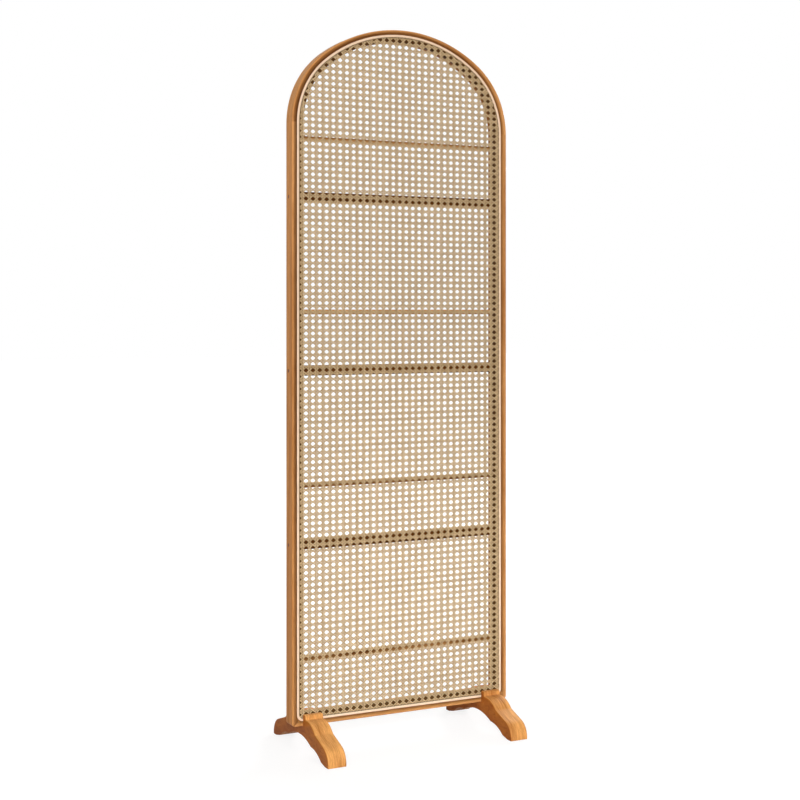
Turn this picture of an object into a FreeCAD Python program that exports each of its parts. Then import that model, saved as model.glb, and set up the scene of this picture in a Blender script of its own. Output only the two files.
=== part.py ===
import FreeCAD, Part
import Sketcher
import math
import os
import re
from FreeCAD import Placement, Rotation, Vector

# Arched room divider: a moulded wooden frame with a sheet of open cane webbing held in a groove
# by a reed spline, cross rails and thin slats behind the cane, and two bracket feet.
# X runs across the panel, -Y is the cane side, Z is up, and the origin is on the floor.

# Driving sizes in millimetres, each with what it measures
SIZES = {
    "panel_width": (605, "frame, outside to outside"),
    "panel_bottom": (65.4, "lower edge of the frame above the floor"),
    "spring_height": (1538.4, "where the arch leaves the straight stiles, above the floor"),
    "arch_rise": (247, "top of the frame above the spring line"),
    "haunch_radius": (219.5, "outer radius of the arch at its two ends"),
    "frame_face": (29, "bottom rail and crown of the arch, seen from the front"),
    "stile_extra": (2.5, "how much wider the stiles are, outside the cane seat"),
    "frame_depth": (42, "front to back of the frame"),
    "frame_round": (4, "rounded outer arris of the frame"),
    "inner_round": (2, "eased inner back arris of the frame"),
    "end_round": (9, "rounded lower corner of each stile"),
    "lip_width": (11.2, "raised lip outside the cane seat, at the bottom rail and the crown"),
    "lip_round": (5.5, "rounded inner arris of the lip"),
    "seat_depth": (6, "cane seat below the face of the lip"),
    "seat_corner": (16.8, "lower corners of the cane seat"),
    "groove_depth": (7, "spline groove below the cane seat"),
    "spline_width": (6, "reed spline across the groove"),
    "spline_proud": (2.2, "top of the spline above the cane seat"),
    "spline_round": (1.8, "rounded top edges of the spline"),
    "hem_width": (0.9, "cane turned down beside the spline"),
    "hem_depth": (5.5, "how far the cane goes down into the groove"),
    "fit_gap": (0.1, "play round spline, dowels, tenons and screws"),
    "cane_across": (18.37, "spacing of the upright strand pairs"),
    "cane_up": (15, "spacing of the level strand pairs"),
    "cane_shift": (1.84, "first upright pair right of the middle line"),
    "cane_lift": (2.35, "lowest level pair above the edge of the webbing"),
    "upright_band": (6.7, "width of an upright strand pair"),
    "level_band": (5.2, "width of a level strand pair"),
    "diagonal_band": (3.1, "width of a diagonal strand"),
    "strand_thickness": (0.35, "thickness of one layer of strands"),
    "cane_margin": (1.6, "closed edge of the webbing"),
    "rail_height": (25, "cross rail, top to bottom"),
    "rail_depth": (22, "cross rail, front to back"),
    "rail_back": (5, "middle of rails, slats and dowels behind the middle of the frame"),
    "rail_drop": (181, "uppermost cross rail below the spring line"),
    "rail_ease": (2, "eased long arrises of the cross rails"),
    "tenon_height": (15, "stub tenon of a cross rail, top to bottom"),
    "tenon_depth": (12, "stub tenon of a cross rail, front to back"),
    "tenon_length": (8, "stub tenon of a cross rail into the stile"),
    "slat_height": (12, "thin slat, top to bottom"),
    "slat_depth": (8, "thin slat, front to back"),
    "slat_rise": (144, "thin slat above the rail below it"),
    "slat_housing": (8, "end of a slat let into the stile"),
    "dowel_diameter": (8, "wooden dowel"),
    "dowel_length": (50, "wooden dowel, half in each piece"),
    "dowel_spacing": (12, "two dowels of a joint, front to back"),
    "dowel_rise": (19, "corner dowels above the lower edge of the frame"),
    "screw_diameter": (5, "rail screw shank"),
    "screw_length": (60, "rail screw under its head"),
    "screw_point": (7, "tapered end of a rail screw"),
    "screw_head": (8.6, "rail screw head diameter"),
    "screw_head_height": (3.2, "rail screw head"),
    "plug_diameter": (9, "wooden plug over a rail screw"),
    "plug_length": (6, "wooden plug over a rail screw"),
    "plug_sunk": (0.4, "outer end of a plug below the side of the stile"),
    "foot_inset": (52, "middle of a foot in from the side of the frame"),
    "foot_width": (48.5, "foot, side to side"),
    "foot_length": (340, "foot, toe to heel"),
    "slot_gap": (0.3, "play of the frame in the slot of a foot"),
    "cheek_height": (29, "cheeks of a foot above the lower edge of the frame"),
    "cheek_width": (13, "cheek of a foot, front to back"),
    "shoulder_height": (83.4, "shoulder of a foot above the floor"),
    "shoulder_reach": (42, "where the shoulder starts to fall, from the middle"),
    "crease_height": (61.4, "crease between shoulder and toe above the floor"),
    "crease_reach": (93, "crease from the middle of the foot"),
    "toe_radius": (40, "round of the toe"),
    "toe_height": (4.9, "upright end of the toe below its round"),
    "arch_height": (42.9, "underside of the foot above the floor"),
    "cusp_height": (27.4, "cusps of the underside above the floor"),
    "cusp_reach": (68, "cusps from the middle of the foot"),
    "sole_reach": (128, "inner end of the sloping soles from the middle of the foot"),
    "sole_height": (6.8, "inner end of the sloping soles above the floor"),
    "tread_length": (18, "level tread at each end of a foot"),
    "cheek_round": (4, "rounded top and hollow foot of a cheek"),
    "crease_round": (14, "hollow of the crease"),
    "foot_ease": (3, "eased upper arrises of a foot"),
    "pad_thickness": (1.5, "felt pad under a tread"),
    "pad_inset": (4.5, "felt pad in from the edges of its tread"),
    "pad_corner": (3, "rounded corners of a felt pad"),
    "bolt_diameter": (6, "foot bolt shank"),
    "bolt_spacing": (22, "two bolts of a foot"),
    "bolt_head": (10, "foot bolt head diameter"),
    "bolt_head_height": (4, "foot bolt head"),
    "bolt_sunk": (0.5, "bolt head above the underside of the foot"),
    "bolt_end": (1, "end of a bolt short of the end of its insert"),
    "socket_width": (5, "hexagon socket across corners"),
    "socket_depth": (2.2, "hexagon socket"),
    "washer_diameter": (14, "foot bolt washer"),
    "washer_thickness": (1.5, "foot bolt washer"),
    "insert_diameter": (10, "threaded insert in the bottom rail"),
    "insert_length": (13, "threaded insert in the bottom rail"),
}

doc = FreeCAD.newDocument("room_divider")
sheet = doc.addObject("Spreadsheet::Sheet", "Sizes")
for row, (alias, (amount, meaning)) in enumerate(SIZES.items(), start=1):
    sheet.set("A%d" % row, alias)
    sheet.set("B%d" % row, str(amount))
    sheet.set("C%d" % row, meaning)
    sheet.setAlias("B%d" % row, alias)
doc.recompute()

# Loops inside the frame, each as the sizes that add up from the outer edge to it
EDGE = "0"
GROOVE_OUTER = "lip_width"
SPLINE_OUTER = GROOVE_OUTER + " + fit_gap"
SPLINE_INNER = SPLINE_OUTER + " + spline_width"
HEM_OUTER = SPLINE_INNER + " + fit_gap"
HEM_INNER = HEM_OUTER + " + hem_width"
GROOVE_INNER = HEM_INNER + " + fit_gap"
CANE_OPEN = GROOVE_INNER + " + cane_margin"

# Levels and reaches that several pieces share
SEAT_LEVEL = "frame_depth / 2 - seat_depth"
STILE_FACE = "(frame_face + stile_extra)"
STILE_MIDDLE = "(panel_width - frame_face - stile_extra) / 2"
HALF_OPENING = "(panel_width / 2 - stile_extra - frame_face)"
SCREW_SEAT = "(plug_sunk + plug_length + screw_head_height)"
BOLT_SEAT = "(arch_height + bolt_sunk + bolt_head_height)"
FOOT_REACH = "(panel_width / 2 - foot_inset)"
SILL_TOP = "(panel_bottom + frame_face)"
LOWEST_RAIL = "(panel_bottom + frame_face / 2)"
TREAD_REACH = "(foot_length / 2 - tread_length)"
CROWN_RADIUS = ("((panel_width / 2 - haunch_radius)^2 + arch_rise^2 - {haunch}^2)"
                " / (2 * (arch_rise - {haunch}))")

SIDES = {"left": -1, "right": 1}
RAILS = {"lower": 1, "middle": 2, "upper": 3}
SLATS = {"bottom": 0, "lower": 1, "middle": 2, "upper": 3}
PAIR = {"front": "-", "back": "+"}
ALONG_X = Rotation(Vector(0, 1, 0), 90)
ALONG_Z = Rotation()
UPRIGHT = Rotation(Vector(1, 0, 0), 90)

# Least gap kept between strands, in square millimetres, and how close two places count as the same
SMALLEST_GAP = 4.0
SAME_PLACE = 0.01


def size(alias):
    return float(sheet.get(alias))


def total(terms):
    """Add up a sum of sizes such as "lip_width + fit_gap"."""
    return sum(size(alias) for alias in terms.split(" + ") if alias != EDGE)


def bind(item, **formulas):
    """Tie properties to the sizes; a double underscore stands for a dot."""
    for key, formula in formulas.items():
        path = key.replace("__", ".")
        item.setExpression(path, re.sub(r"[a-z]+(_[a-z]+)+", r"Sizes.\g<0>", formula))


def place(item, x="0", y="0", z="0"):
    bind(item, Placement__Base__x=x, Placement__Base__y=y, Placement__Base__z=z)


def rail_level(step):
    """Middle of a cross rail, the rails being evenly spaced up from the bottom rail."""
    share = "(spring_height - rail_drop - %s) / %d" % (LOWEST_RAIL, len(RAILS))
    return "%s + %d * %s" % (LOWEST_RAIL, step, share)


def slat_level(step):
    return rail_level(step) + " + slat_rise"


def dowel_depth(sign):
    return "rail_back %s dowel_spacing / 2" % sign


# Sketches

def new_body(label):
    body = doc.addObject("PartDesign::Body", label)
    body.Label = label
    return body


def body_sketch(body, name, role, level="0"):
    """A sketch on one of the body's own planes, raised along the normal of the plane."""
    sketch = body.newObject("Sketcher::SketchObject", name)
    plane = [item for item in body.Origin.OriginFeatures if item.Role == role][0]
    sketch.AttachmentSupport = [(plane, "")]
    sketch.MapMode = "FlatFace"
    bind(sketch, AttachmentOffset__Base__z=level)
    return sketch


def settle(sketch, rules):
    """Tie dimensions to the sizes, on geometry that is drawn at its size already."""
    for formula, amount, kind, *where in rules:
        index = sketch.addConstraint(Sketcher.Constraint(kind, *where, amount))
        bind(sketch, **{"Constraints[%d]" % index: formula})


def join(sketch, first, second, kind="Coincident"):
    sketch.addConstraint(Sketcher.Constraint(kind, first, 2, second, 1))


def line(x1, z1, x2, z2):
    return Part.LineSegment(Vector(x1, z1, 0), Vector(x2, z2, 0))


def arc(x, z, radius, start, end):
    return Part.ArcOfCircle(Part.Circle(Vector(x, z, 0), Vector(0, 0, 1), radius), start, end)


def side_terms(terms):
    """A loop inside the frame is set in further along the wider stiles than at the crown."""
    return terms if terms == EDGE else terms + " + stile_extra"


def arch_arcs(terms):
    """Three tangent arcs of the arch, from the right spring point to the left one."""
    rise = size("arch_rise")
    spring = size("spring_height")
    inset = total(terms)
    out = size("panel_width") / 2 - size("haunch_radius")
    haunch = size("haunch_radius") - total(side_terms(terms)) + inset
    crown = (out ** 2 + rise ** 2 - haunch ** 2) / (2 * (rise - haunch))
    turn = math.atan2(crown - rise, out)
    return [arc(out, spring, haunch - inset, 0, turn),
            arc(0, spring + rise - crown, crown - inset, turn, math.pi - turn),
            arc(-out, spring, haunch - inset, math.pi - turn, math.pi)]


def arch_rules(sketch, arcs, terms):
    right, crown, left = arcs
    right_arc, crown_arc, left_arc = arch_arcs(terms)
    spring = size("spring_height")
    haunch_rule = "haunch_radius - (%s)" % side_terms(terms)
    crown_rule = CROWN_RADIUS.format(haunch="(%s + %s)" % (haunch_rule, terms))
    settle(sketch, [
        (haunch_rule, right_arc.Radius, "Radius", right),
        (haunch_rule, left_arc.Radius, "Radius", left),
        ("%s - (%s)" % (crown_rule, terms), crown_arc.Radius, "Radius", crown),
        ("spring_height", spring, "DistanceY", -1, 1, right, 3),
        ("spring_height", spring, "DistanceY", -1, 1, left, 3),
    ])


def draw_arch(sketch, terms):
    """The arch above the spring line, closed by a level line."""
    reach = size("panel_width") / 2 - total(side_terms(terms))
    spring = size("spring_height")
    arcs = sketch.addGeometry(arch_arcs(terms), False)
    right, crown, left = arcs
    base = sketch.addGeometry(line(-reach, spring, reach, spring), False)
    join(sketch, right, crown, "Tangent")
    join(sketch, crown, left, "Tangent")
    join(sketch, left, base)
    join(sketch, base, right)
    sketch.addConstraint(Sketcher.Constraint("Horizontal", base))
    arch_rules(sketch, arcs, terms)
    settle(sketch, [
        ("spring_height", spring, "DistanceY", -1, 1, base, 1),
        ("panel_width / 2 - (%s)" % side_terms(terms), reach, "DistanceX", -1, 1, base, 2),
        ("panel_width / 2 - (%s)" % side_terms(terms), reach, "DistanceX", base, 1, -1, 1),
    ])


def draw_loop(sketch, terms):
    """The closed loop of the cane seat, set in from the outer edge of the frame."""
    inset = total(terms)
    reach = size("panel_width") / 2 - total(side_terms(terms))
    spring = size("spring_height")
    low = size("panel_bottom") + inset
    corner = size("seat_corner") + size("lip_width") - inset
    quarter = math.pi / 2
    edges = [line(corner - reach, low, reach - corner, low),
             arc(reach - corner, low + corner, corner, -quarter, 0),
             line(reach, low + corner, reach, spring)]
    edges += arch_arcs(terms)
    edges += [line(-reach, spring, -reach, low + corner),
              arc(corner - reach, low + corner, corner, math.pi, 3 * quarter)]
    loop = list(sketch.addGeometry(edges, False))
    for first, second in zip(loop, loop[1:] + loop[:1]):
        join(sketch, first, second, "Tangent")
    bottom, right_corner, right_side = loop[:3]
    left_side, left_corner = loop[6:]
    sketch.addConstraint(Sketcher.Constraint("Horizontal", bottom))
    sketch.addConstraint(Sketcher.Constraint("Vertical", right_side))
    sketch.addConstraint(Sketcher.Constraint("Vertical", left_side))
    arch_rules(sketch, loop[3:6], terms)
    corner_rule = "seat_corner + lip_width - (%s)" % terms
    settle(sketch, [
        (corner_rule, corner, "Radius", right_corner),
        (corner_rule, corner, "Radius", left_corner),
        ("panel_bottom + %s" % terms, low, "DistanceY", -1, 1, bottom, 1),
        ("panel_width / 2 - (%s)" % side_terms(terms), reach, "DistanceX", -1, 1, right_side, 1),
        ("panel_width / 2 - (%s)" % side_terms(terms), reach, "DistanceX", left_side, 1, -1, 1),
    ])


def seat_wire(name, terms, level="0"):
    """A loop of the cane seat as a wire in an upright plane."""
    sketch = doc.addObject("Sketcher::SketchObject", name)
    sketch.Placement = Placement(Vector(), UPRIGHT)
    place(sketch, y=level)
    draw_loop(sketch, terms)
    doc.recompute()
    return sketch.Shape.Wires[0]


# Features

def pad(body, name, sketch, length, both_ways=False):
    feature = body.newObject("PartDesign::Pad", name)
    feature.Profile = sketch
    feature.SideType = "Symmetric" if both_ways else "One side"
    bind(feature, Length=length)


def pocket(body, name, sketch, length, both_ways=False):
    feature = body.newObject("PartDesign::Pocket", name)
    feature.Profile = sketch
    feature.SideType = "Symmetric" if both_ways else "One side"
    bind(feature, Length=length)


def block(body, name, corner, sides, cut=False):
    kind = "PartDesign::SubtractiveBox" if cut else "PartDesign::AdditiveBox"
    feature = body.newObject(kind, name)
    bind(feature, Length=sides[0], Width=sides[1], Height=sides[2])
    place(feature, *corner)


def bore(body, name, turn, start, diameter, length):
    feature = body.newObject("PartDesign::SubtractiveCylinder", name)
    feature.Placement = Placement(Vector(), turn)
    bind(feature, Radius="(%s) / 2" % diameter, Height=length)
    place(feature, *start)


def bead(body, name, start, diameter, length):
    feature = body.newObject("PartDesign::AdditiveCylinder", name)
    bind(feature, Radius="(%s) / 2" % diameter, Height=length)
    place(feature, *start)


def ease(body, name, radius, chosen):
    """Round the edges of the body that the test picks out."""
    doc.recompute()
    base = body.Tip
    edges = ["Edge%d" % number for number, edge in enumerate(base.Shape.Edges, start=1) if chosen(edge)]
    feature = body.newObject("PartDesign::Fillet", name)
    feature.Base = (base, edges)
    bind(feature, Radius=radius)


def near(one, other):
    return abs(one - other) < SAME_PLACE


def level_at(edge, axis, level):
    """True where the whole edge lies at one level along an axis."""
    box = edge.BoundBox
    low, high = {"x": (box.XMin, box.XMax), "y": (box.YMin, box.YMax), "z": (box.ZMin, box.ZMax)}[axis]
    return near(low, level) and near(high, level)


def lies_on(edge, wire):
    middle = edge.valueAt((edge.FirstParameter + edge.LastParameter) / 2)
    points = [middle] + [vertex.Point for vertex in edge.Vertexes]
    return all(wire.distToShape(Part.Vertex(point))[0] < SAME_PLACE for point in points)


def at_faces(edge, half, axis="y"):
    return level_at(edge, axis, -half) or level_at(edge, axis, half)


def rod(name, turn, start, diameter, length):
    item = doc.addObject("Part::Cylinder", name)
    item.Placement = Placement(Vector(), turn)
    bind(item, Radius="(%s) / 2" % diameter, Height=length)
    place(item, *start)
    return item


def taper(name, turn, start, diameter, length):
    item = doc.addObject("Part::Cone", name)
    item.Placement = Placement(Vector(), turn)
    item.Radius2 = 0
    bind(item, Radius1="(%s) / 2" % diameter, Height=length)
    place(item, *start)
    return item


def ring(name, start, diameter, hole, length):
    cut = doc.addObject("Part::Cut", name)
    cut.Base = rod(name + "_outside", ALONG_Z, start, diameter, length)
    cut.Tool = rod(name + "_hole", ALONG_Z, start, hole, length)
    return cut


def group(label, items):
    """Like pieces that share one node, each still its own solid."""
    item = doc.addObject("Part::Compound", label)
    item.Label = label
    item.Links = items
    return item


# Frame members

def cut_cane_seat(body, label):
    """Rebate for the cane inside a rounded lip, and the groove for its spline, in line all round."""
    seat = body_sketch(body, label + "_seat_loop", "XZ_Plane", "frame_depth / 2")
    draw_loop(seat, GROOVE_OUTER)
    pocket(body, label + "_seat", seat, "seat_depth")
    lip_line = seat_wire(label + "_lip_line", GROOVE_OUTER, "-frame_depth / 2")
    ease(body, label + "_lip", "lip_round", lambda edge: lies_on(edge, lip_line))
    groove = body_sketch(body, label + "_groove_loop", "XZ_Plane", SEAT_LEVEL)
    draw_loop(groove, GROOVE_OUTER)
    draw_loop(groove, GROOVE_INNER)
    pocket(body, label + "_groove", groove, "groove_depth")


def make_left_stile():
    """Rounded outside, rebated inside, and bored for rails, slats, dowels and screws."""
    label = "left_stile"
    half = size("panel_width") / 2
    inner = half - size("frame_face") - size("stile_extra")
    back = size("frame_depth") / 2
    body = new_body(label)
    block(body, label + "_blank", ("-panel_width / 2", "-frame_depth / 2", "panel_bottom"),
          (STILE_FACE, "frame_depth", "spring_height - panel_bottom"))
    ease(body, label + "_end", "end_round",
         lambda edge: level_at(edge, "x", -half) and level_at(edge, "z", size("panel_bottom")))
    ease(body, label + "_outside", "frame_round",
         lambda edge: at_faces(edge, back) and not level_at(edge, "x", -inner)
         and not level_at(edge, "z", size("spring_height")))
    cut_cane_seat(body, label)
    inside = ("-%s - inner_round" % HALF_OPENING, "frame_depth / 2 - inner_round", SILL_TOP)
    block(body, label + "_inner_arris", inside,
          ("inner_round", "inner_round", "spring_height - " + SILL_TOP), True)
    bead(body, label + "_inside", inside, "2 * inner_round", "spring_height - " + SILL_TOP)
    for name, step in RAILS.items():
        middle = ("-panel_width / 2", "rail_back", rail_level(step))
        block(body, "%s_%s_mortise" % (label, name),
              ("-%s - tenon_length - fit_gap" % HALF_OPENING,
               "rail_back - tenon_depth / 2 - fit_gap",
               rail_level(step) + " - tenon_height / 2 - fit_gap"),
              ("tenon_length + fit_gap", "tenon_depth + 2 * fit_gap", "tenon_height + 2 * fit_gap"), True)
        bore(body, "%s_%s_plug_bore" % (label, name), ALONG_X, middle,
             "plug_diameter + 2 * fit_gap", SCREW_SEAT)
        bore(body, "%s_%s_screw_bore" % (label, name), ALONG_X, middle,
             "screw_diameter + 2 * fit_gap", STILE_FACE)
    for name, step in SLATS.items():
        block(body, "%s_%s_housing" % (label, name),
              ("-%s - slat_housing - fit_gap" % HALF_OPENING,
               "rail_back - slat_depth / 2 - fit_gap",
               slat_level(step) + " - slat_height / 2 - fit_gap"),
              ("slat_housing + fit_gap", "slat_depth + 2 * fit_gap", "slat_height + 2 * fit_gap"), True)
    for name, sign in PAIR.items():
        bore(body, "%s_%s_top_bore" % (label, name), ALONG_Z,
             ("-" + STILE_MIDDLE, dowel_depth(sign), "spring_height - dowel_length / 2"),
             "dowel_diameter + 2 * fit_gap", "dowel_length / 2")
        bore(body, "%s_%s_corner_bore" % (label, name), ALONG_X,
             ("-%s - dowel_length / 2" % HALF_OPENING, dowel_depth(sign), "panel_bottom + dowel_rise"),
             "dowel_diameter + 2 * fit_gap", "dowel_length / 2")
    return body


def make_right_stile(left_stile):
    item = doc.addObject("Part::Mirroring", "right_stile")
    item.Label = "right_stile"
    item.Source = left_stile
    item.Normal = Vector(1, 0, 0)
    return item


def make_arch_rail():
    """The bent head of the frame, with the same section as the stiles."""
    label = "arch_rail"
    back = size("frame_depth") / 2
    outer_radii = [curve.Radius for curve in arch_arcs(EDGE)]
    inner_radii = [curve.Radius for curve in arch_arcs("frame_face")]
    body = new_body(label)
    outside = body_sketch(body, label + "_outside_line", "XZ_Plane")
    draw_arch(outside, EDGE)
    pad(body, label + "_blank", outside, "frame_depth", True)
    inside = body_sketch(body, label + "_inside_line", "XZ_Plane")
    draw_arch(inside, "frame_face")
    pocket(body, label + "_opening", inside, "frame_depth", True)

    def bent_to(edge, radii):
        return hasattr(edge.Curve, "Radius") and any(near(edge.Curve.Radius, radius) for radius in radii)

    ease(body, label + "_outside", "frame_round",
         lambda edge: at_faces(edge, back) and bent_to(edge, outer_radii))
    ease(body, label + "_inside", "inner_round",
         lambda edge: level_at(edge, "y", back) and bent_to(edge, inner_radii))
    cut_cane_seat(body, label)
    for side, way in SIDES.items():
        for name, sign in PAIR.items():
            bore(body, "%s_%s_%s_bore" % (label, side, name), ALONG_Z,
                 ("%d * %s" % (way, STILE_MIDDLE), dowel_depth(sign), "spring_height"),
                 "dowel_diameter + 2 * fit_gap", "dowel_length / 2")
    return body


def make_bottom_rail():
    """The sill of the frame, dowelled between the stiles and carrying the inserts of the feet."""
    label = "bottom_rail"
    back = size("frame_depth") / 2
    low = size("panel_bottom")
    body = new_body(label)
    block(body, label + "_blank", ("-" + HALF_OPENING, "-frame_depth / 2", "panel_bottom"),
          ("2 * " + HALF_OPENING, "frame_depth", "frame_face"))
    ease(body, label + "_outside", "frame_round",
         lambda edge: at_faces(edge, back) and level_at(edge, "z", low))
    ease(body, label + "_inside", "inner_round",
         lambda edge: level_at(edge, "y", back) and level_at(edge, "z", low + size("frame_face")))
    cut_cane_seat(body, label)
    starts = {"left": "-" + HALF_OPENING, "right": HALF_OPENING + " - dowel_length / 2"}
    for side, start in starts.items():
        for name, sign in PAIR.items():
            bore(body, "%s_%s_%s_bore" % (label, side, name), ALONG_X,
                 (start, dowel_depth(sign), "panel_bottom + dowel_rise"),
                 "dowel_diameter + 2 * fit_gap", "dowel_length / 2")
    for number, middle in enumerate(bolt_places()):
        bore(body, "%s_insert_bore_%d" % (label, number), ALONG_Z, (middle, "0", "panel_bottom"),
             "insert_diameter + 2 * fit_gap", "insert_length")
    return body


def make_cross_rail(name, step):
    """A back rail with a stub tenon at each end, bored for its two screws."""
    label = name + "_cross_rail"
    body = new_body(label)
    block(body, label + "_blank",
          ("-" + HALF_OPENING, "rail_back - rail_depth / 2", rail_level(step) + " - rail_height / 2"),
          ("2 * " + HALF_OPENING, "rail_depth", "rail_height"))
    ease(body, label + "_arrises", "rail_ease",
         lambda edge: edge.BoundBox.XLength > size("panel_width") / 2)
    block(body, label + "_tenons",
          ("-%s - tenon_length" % HALF_OPENING, "rail_back - tenon_depth / 2",
           rail_level(step) + " - tenon_height / 2"),
          ("2 * (%s + tenon_length)" % HALF_OPENING, "tenon_depth", "tenon_height"))
    starts = {"left": "%s - panel_width / 2" % SCREW_SEAT,
              "right": "panel_width / 2 - %s - screw_length - fit_gap" % SCREW_SEAT}
    for side, start in starts.items():
        bore(body, "%s_%s_screw_bore" % (label, side), ALONG_X, (start, "rail_back", rail_level(step)),
             "screw_diameter + 2 * fit_gap", "screw_length + fit_gap")
    return body


def make_slat(name, step):
    label = name + "_slat"
    item = doc.addObject("Part::Box", label)
    item.Label = label
    bind(item, Length="2 * (%s + slat_housing)" % HALF_OPENING, Width="slat_depth", Height="slat_height")
    place(item, "-%s - slat_housing" % HALF_OPENING, "rail_back - slat_depth / 2",
          slat_level(step) + " - slat_height / 2")
    return item


# Cane webbing and its spline

def make_seat_ring(label, outer, inner, level, height):
    """A ring that follows the cane seat, from a level towards the front."""
    body = new_body(label)
    outline = body_sketch(body, label + "_outline", "XZ_Plane", level)
    draw_loop(outline, outer)
    draw_loop(outline, inner)
    pad(body, label + "_ring", outline, height)
    return body


def make_spline():
    """One unbroken reed with a rounded top, pressed into the groove."""
    label = "locking_spline"
    body = make_seat_ring(label, SPLINE_OUTER, SPLINE_INNER, SEAT_LEVEL + " - groove_depth + fit_gap",
                          "groove_depth - fit_gap + spline_proud")
    top = size("seat_depth") - size("frame_depth") / 2 - size("spline_proud")
    ease(body, label + "_top", "spline_round", lambda edge: level_at(edge, "y", top))
    return body


def strand_gaps(slope, start, spacing, band, open_face):
    """Gaps between strands whose middle lines are z = slope * x + start + spacing * number."""
    box = open_face.BoundBox
    reach = box.XMax + spacing
    lean = abs(slope) * reach
    first = math.floor((box.ZMin - lean - start) / spacing)
    last = math.ceil((box.ZMax + lean - start) / spacing)
    gaps = []
    for number in range(first, last + 1):
        low = start + spacing * number + band / 2
        high = start + spacing * (number + 1) - band / 2
        corners = [(-reach, low - slope * reach), (reach, low + slope * reach),
                   (reach, high + slope * reach), (-reach, high - slope * reach)]
        gaps += clipped_gap(corners, open_face)
    return gaps


def upright_gaps(start, spacing, band, open_face):
    box = open_face.BoundBox
    first = math.floor((box.XMin - start) / spacing)
    last = math.ceil((box.XMax - start) / spacing)
    gaps = []
    for number in range(first, last + 1):
        low = start + spacing * number + band / 2
        high = start + spacing * (number + 1) - band / 2
        corners = [(low, box.ZMin - spacing), (high, box.ZMin - spacing),
                   (high, box.ZMax + spacing), (low, box.ZMax + spacing)]
        gaps += clipped_gap(corners, open_face)
    return gaps


def clipped_gap(corners, open_face):
    points = [Vector(x, 0, z) for x, z in corners]
    strip = Part.Face(Part.makePolygon(points + points[:1]))
    return [face.OuterWire for face in strip.common(open_face).Faces if face.Area > SMALLEST_GAP]


def make_cane_layers():
    """Four flat layers of strands that cross as open cane does, each one holed face made thick."""
    edge = seat_wire("cane_edge", HEM_OUTER)
    open_face = Part.Face(seat_wire("cane_opening", CANE_OPEN))
    across = size("cane_across")
    up = size("cane_up")
    lowest = size("panel_bottom") + total(HEM_OUTER) + size("cane_lift")
    slope = up / across
    tilted_band = size("diagonal_band") * math.hypot(across, up) / across
    crossing = lowest + up / 2
    gaps = {
        "cane_uprights": upright_gaps(size("cane_shift"), across, size("upright_band"), open_face),
        "cane_rising_diagonals":
            strand_gaps(slope, crossing - slope * size("cane_shift"), up, tilted_band, open_face),
        "cane_falling_diagonals":
            strand_gaps(-slope, crossing + slope * size("cane_shift"), up, tilted_band, open_face),
        "cane_levels": strand_gaps(0, lowest, up, size("level_band"), open_face),
    }
    layers = []
    for number, (label, holes) in enumerate(gaps.items()):
        face = Part.makeFace([edge] + holes, "Part::FaceMakerBullseye")
        item = doc.addObject("Part::Feature", label)
        item.Label = label
        item.Shape = face.extrude(Vector(0, -size("strand_thickness"), 0))
        place(item, y="-(%s) - %d * strand_thickness" % (SEAT_LEVEL, number))
        print(label, len(holes), "gaps")
        layers.append(item)
    return layers


# Feet

def foot_outline():
    """Half of the side outline of a foot, from the underside round the toe to the slot."""
    base = size("pad_thickness")
    top = size("arch_height")
    cusp, cusp_z = size("cusp_reach"), size("cusp_height")
    sole, sole_z = size("sole_reach"), size("sole_height")
    toe, round_toe = size("foot_length") / 2, size("toe_radius")
    toe_z = base + size("toe_height")
    tread = toe - size("tread_length")
    crease, crease_z = size("crease_reach"), size("crease_height")
    shoulder, shoulder_z = size("shoulder_reach"), size("shoulder_height")
    slot = size("frame_depth") / 2 + size("slot_gap")
    cheek, cheek_z = slot + size("cheek_width"), size("panel_bottom") + size("cheek_height")
    floor = size("panel_bottom")

    def hung_arc(x, z, end_x, end_z):
        """An arc that is level at its top point and ends lower down on the right."""
        drop = z - end_z
        radius = ((end_x - x) ** 2 + drop ** 2) / (2 * drop)
        return arc(x, z - radius, radius, math.atan2(radius - drop, end_x - x), math.pi / 2)

    centre = toe - round_toe
    span = math.hypot(crease - centre, crease_z - toe_z)
    meet = math.atan2(crease_z - toe_z, crease - centre) - math.acos(round_toe / span)
    meet_x = centre + round_toe * math.cos(meet)
    meet_z = toe_z + round_toe * math.sin(meet)
    return [hung_arc(0, top, cusp, cusp_z),
            hung_arc(cusp, cusp_z, sole, sole_z),
            line(sole, sole_z, tread, base),
            line(tread, base, toe, base),
            line(toe, base, toe, toe_z),
            arc(centre, toe_z, round_toe, 0, meet),
            line(meet_x, meet_z, crease, crease_z),
            hung_arc(shoulder, shoulder_z, crease, crease_z),
            line(shoulder, shoulder_z, cheek, shoulder_z),
            line(cheek, shoulder_z, cheek, cheek_z),
            line(cheek, cheek_z, slot, cheek_z),
            line(slot, cheek_z, slot, floor),
            line(slot, floor, 0, floor),
            line(0, floor, 0, top)]


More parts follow.
